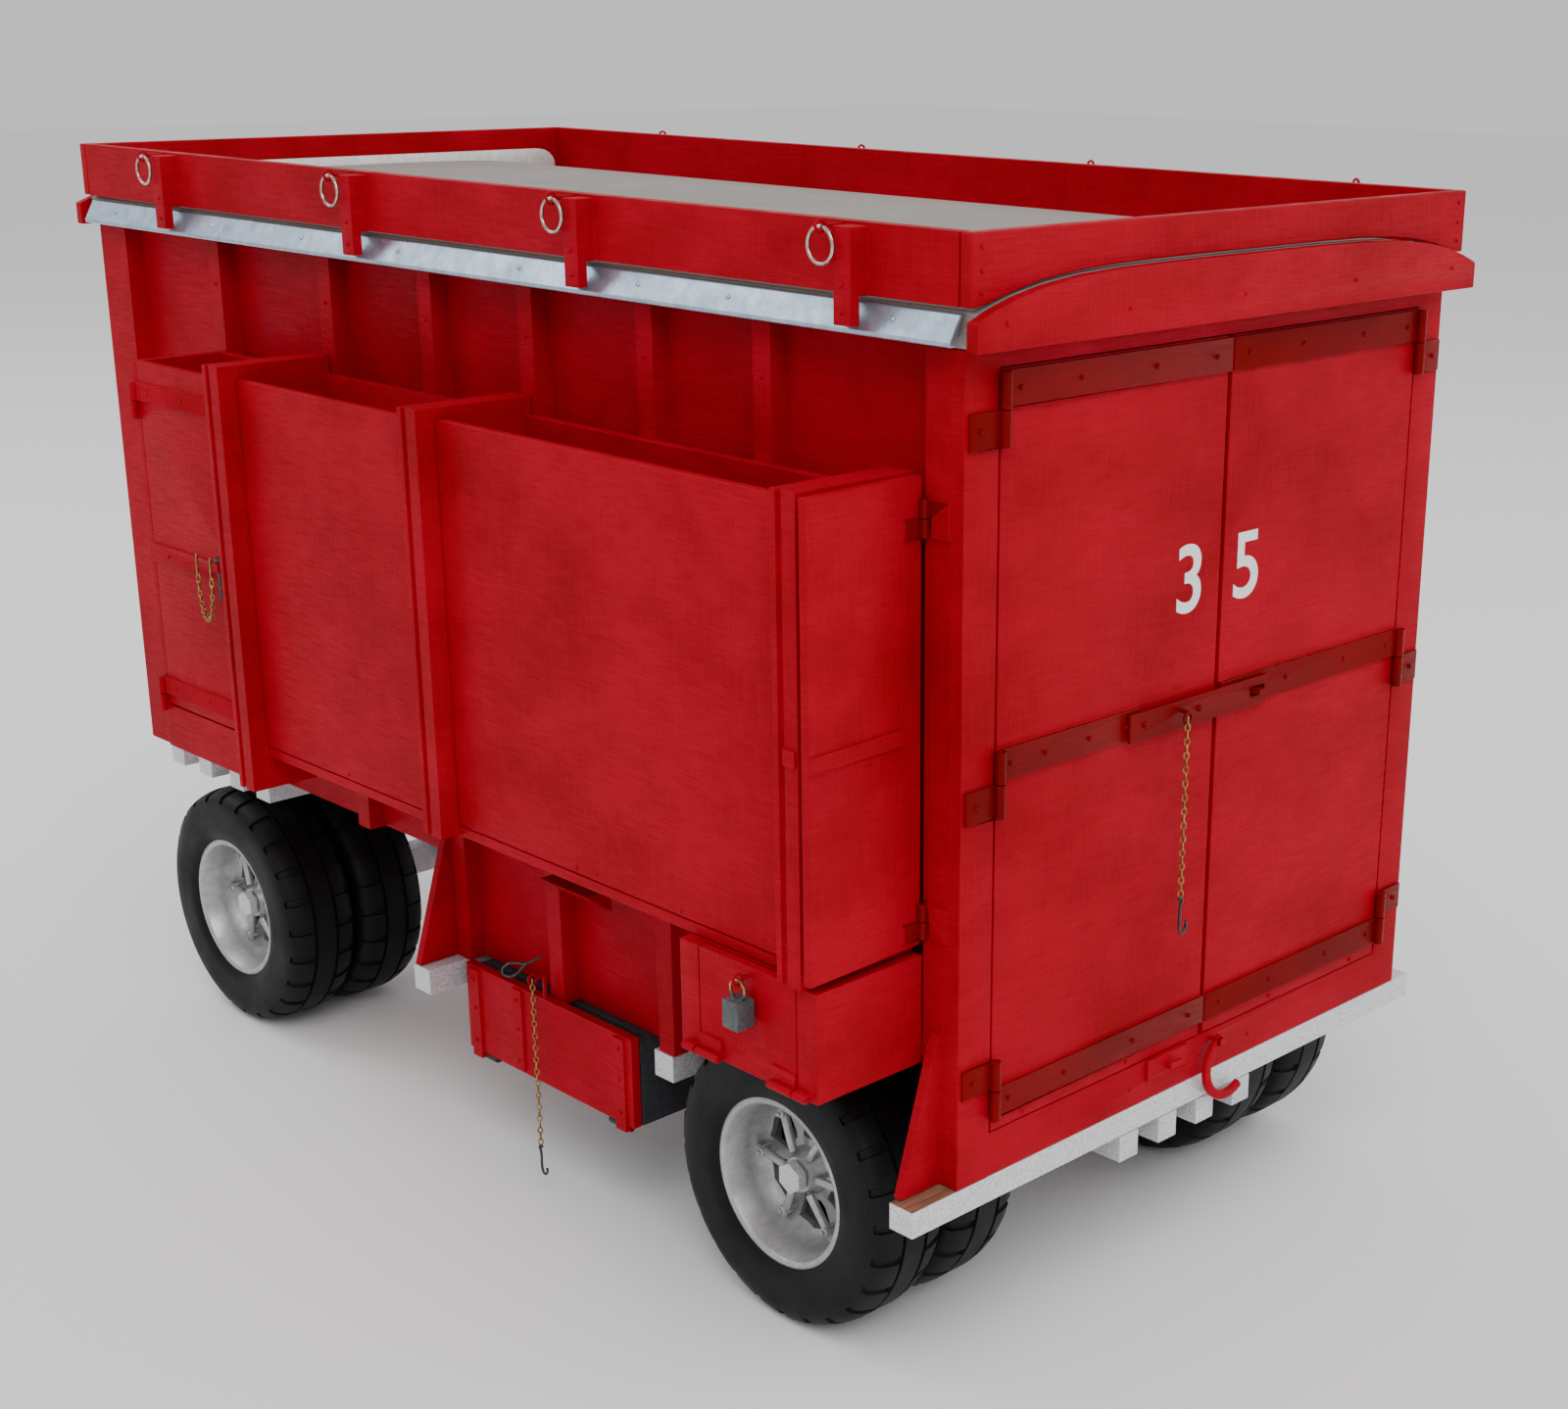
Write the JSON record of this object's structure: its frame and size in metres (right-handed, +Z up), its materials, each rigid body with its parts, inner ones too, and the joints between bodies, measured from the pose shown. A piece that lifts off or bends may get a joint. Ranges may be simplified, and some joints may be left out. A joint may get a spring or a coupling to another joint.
{
  "type": "model box wagon",
  "caption": "Red model box wagon on dual tyred wheels, with hinged rear doors, a roof rail with tie rings, side load racks, lockers, chains and a steering front axle.",
  "frame": {"origin": "middle of the footprint's bounding box, on the ground", "axes": "+Z up, -Y the end with the doors, -X the side with the racks"},
  "size_m": [0.2556, 0.4386, 0.3127],
  "materials": {
    "red": "thick red paint on wood, brush marks, semi-gloss",
    "strap": "brown-red paint, semi-gloss",
    "silver": "silver paint on wood, fine sparkle",
    "galvanised": "galvanised sheet",
    "grey": "grey-beige paint, dull",
    "brass": "aged brass",
    "wire": "coppery wire, dull",
    "steel": "dark steel",
    "slate": "dark slate paint, dull",
    "rubber": "black rubber"
  },
  "bodies": {
    "wagon": {"floor": "red", "left_wall": "red", "right_wall": "red", "front_wall": "red", "rear_frame": "red", "rear_cornice": "red", "front_cornice": "red", "roof": "grey", "left_drip_strip": "galvanised", "right_drip_strip": "galvanised", "left_rail": "red", "right_rail": "red", "front_rail": "red", "rear_rail": "red", "rack_frame": "red", "rack_panel_short": "red", "rack_panel_long": "red", "locker": "red", "tool_box": "slate", "rear_bar": "silver", "chassis": "silver", "front_underframe": "silver", "rear_axle": "silver"},
    "left_door_leaf": {"left_door": "red", "hasp": "strap"},
    "door_chain_set": {"door_chain": "brass", "door_chain_hook": "steel"},
    "right_door_leaf": {"right_door": "red"},
    "sill_hook": {"c_hook": "red"},
    "bay_door_leaf": {"bay_door": "red", "latch_chain": "brass"},
    "bay_latch_pin": {"latch_pin": "steel"},
    "end_door_leaf": {"rack_end_door": "red"},
    "locker_door_leaf": {"locker_door": "red"},
    "locker_padlock": {"padlock": "steel"},
    "drop_board_leaf": {"drop_board": "red"},
    "belly_chain_set": {"belly_chain": "brass", "belly_chain_hook": "steel"},
    "steering_truck": {"front_truck": "silver"},
    "draught_iron": {"tongue": "silver"},
    "rear_left_wheels": {"rear_left_rims": "silver", "rear_left_outer_tyre": "rubber", "rear_left_inner_tyre": "rubber"},
    "rear_right_wheels": {"rear_right_rims": "silver", "rear_right_outer_tyre": "rubber", "rear_right_inner_tyre": "rubber"},
    "front_left_wheels": {"front_left_rims": "silver", "front_left_outer_tyre": "rubber", "front_left_inner_tyre": "rubber"},
    "front_right_wheels": {"front_right_rims": "silver", "front_right_outer_tyre": "rubber", "front_right_inner_tyre": "rubber"},
    "ring_1": {"tie_ring_1": "wire"},
    "ring_2": {"tie_ring_2": "wire"},
    "ring_3": {"tie_ring_3": "wire"},
    "ring_4": {"tie_ring_4": "wire"},
    "ring_5": {"tie_ring_5": "wire"},
    "ring_6": {"tie_ring_6": "wire"},
    "ring_7": {"tie_ring_7": "wire"},
    "ring_8": {"tie_ring_8": "wire"}
  },
  "joints": [
    {"name": "left_door_swing", "type": "hinge", "parent": "wagon", "child": "left_door_leaf", "pos_m": [-0.07123, -0.2133, 0.17894], "axis": [0, 0, -1], "range_deg": [0, 95]},
    {"name": "door_chain_swing", "type": "hinge", "parent": "left_door_leaf", "child": "door_chain_set", "pos_m": [-0.00113, -0.2167, 0.17919], "axis": [0, 1, 0], "range_deg": [-45, 45]},
    {"name": "right_door_swing", "type": "hinge", "parent": "wagon", "child": "right_door_leaf", "pos_m": [0.10397, -0.2133, 0.17894], "axis": [0, 0, 1], "range_deg": [0, 95]},
    {"name": "sill_hook_swing", "type": "hinge", "parent": "wagon", "child": "sill_hook", "pos_m": [0.02287, -0.214, 0.07559], "axis": [0, -1, 0], "range_deg": [-10, 60]},
    {"name": "bay_door_swing", "type": "hinge", "parent": "wagon", "child": "bay_door_leaf", "pos_m": [-0.11813, 0.131, 0.19119], "axis": [0, 0, -1], "range_deg": [0, 100]},
    {"name": "latch_pin_lift", "type": "slide", "parent": "bay_door_leaf", "child": "bay_latch_pin", "axis": [0, 0, 1], "range_m": [0, 0.009]},
    {"name": "end_door_swing", "type": "hinge", "parent": "wagon", "child": "end_door_leaf", "pos_m": [-0.08513, -0.1999, 0.19284], "axis": [0, 0, 1], "range_deg": [-3, 85]},
    {"name": "locker_door_drop", "type": "hinge", "parent": "wagon", "child": "locker_door_leaf", "pos_m": [-0.12213, -0.172, 0.09979], "axis": [0, -1, 0], "range_deg": [0, 110]},
    {"name": "padlock_swing", "type": "hinge", "parent": "locker_door_leaf", "child": "locker_padlock", "pos_m": [-0.12483, -0.1735, 0.12669], "axis": [0, 1, 0], "range_deg": [-3, 90]},
    {"name": "drop_board_drop", "type": "hinge", "parent": "wagon", "child": "drop_board_leaf", "pos_m": [-0.08563, -0.037, 0.03619], "axis": [0, -1, 0], "range_deg": [0, 90]},
    {"name": "belly_chain_swing", "type": "hinge", "parent": "drop_board_leaf", "child": "belly_chain_set", "pos_m": [-0.09093, -0.036, 0.07459], "axis": [0, 1, 0], "range_deg": [-2, 80]},
    {"name": "steering", "type": "hinge", "parent": "wagon", "child": "steering_truck", "pos_m": [0.01637, 0.155, 0.04379], "axis": [0, 0, 1], "range_deg": [-20, 20]},
    {"name": "draught_iron_tilt", "type": "hinge", "parent": "steering_truck", "child": "draught_iron", "pos_m": [0.01637, 0.173, 0.04379], "axis": [1, 0, 0], "range_deg": [-25, 50]},
    {"name": "rear_left_wheel_spin", "type": "hinge", "parent": "wagon", "child": "rear_left_wheels", "pos_m": [-0.06063, -0.1444, 0.04379], "axis": [1, 0, 0], "continuous": true},
    {"name": "rear_right_wheel_spin", "type": "hinge", "parent": "wagon", "child": "rear_right_wheels", "pos_m": [0.09337, -0.1444, 0.04379], "axis": [1, 0, 0], "continuous": true},
    {"name": "front_left_wheel_spin", "type": "hinge", "parent": "steering_truck", "child": "front_left_wheels", "pos_m": [-0.06063, 0.155, 0.04379], "axis": [1, 0, 0], "continuous": true},
    {"name": "front_right_wheel_spin", "type": "hinge", "parent": "steering_truck", "child": "front_right_wheels", "pos_m": [0.09337, 0.155, 0.04379], "axis": [1, 0, 0], "continuous": true},
    {"name": "tie_ring_1_swing", "type": "hinge", "parent": "wagon", "child": "ring_1", "pos_m": [-0.09313, -0.1723, 0.31079], "axis": [0, 1, 0], "range_deg": [-2, 120]},
    {"name": "tie_ring_2_swing", "type": "hinge", "parent": "wagon", "child": "ring_2", "pos_m": [-0.09313, -0.0663, 0.31079], "axis": [0, 1, 0], "range_deg": [-2, 120]},
    {"name": "tie_ring_3_swing", "type": "hinge", "parent": "wagon", "child": "ring_3", "pos_m": [-0.09313, 0.0437, 0.31079], "axis": [0, 1, 0], "range_deg": [-2, 120]},
    {"name": "tie_ring_4_swing", "type": "hinge", "parent": "wagon", "child": "ring_4", "pos_m": [-0.09313, 0.1572, 0.31079], "axis": [0, 1, 0], "range_deg": [-2, 120]},
    {"name": "tie_ring_5_swing", "type": "hinge", "parent": "wagon", "child": "ring_5", "pos_m": [0.12587, -0.1723, 0.31079], "axis": [0, -1, 0], "range_deg": [-2, 120]},
    {"name": "tie_ring_6_swing", "type": "hinge", "parent": "wagon", "child": "ring_6", "pos_m": [0.12587, -0.0663, 0.31079], "axis": [0, -1, 0], "range_deg": [-2, 120]},
    {"name": "tie_ring_7_swing", "type": "hinge", "parent": "wagon", "child": "ring_7", "pos_m": [0.12587, 0.0437, 0.31079], "axis": [0, -1, 0], "range_deg": [-2, 120]},
    {"name": "tie_ring_8_swing", "type": "hinge", "parent": "wagon", "child": "ring_8", "pos_m": [0.12587, 0.1572, 0.31079], "axis": [0, -1, 0], "range_deg": [-2, 120]}
  ],
  "couplings": [
    {"joint": "right_door_swing", "follows": "left_door_swing", "ratio": 1}
  ]
}
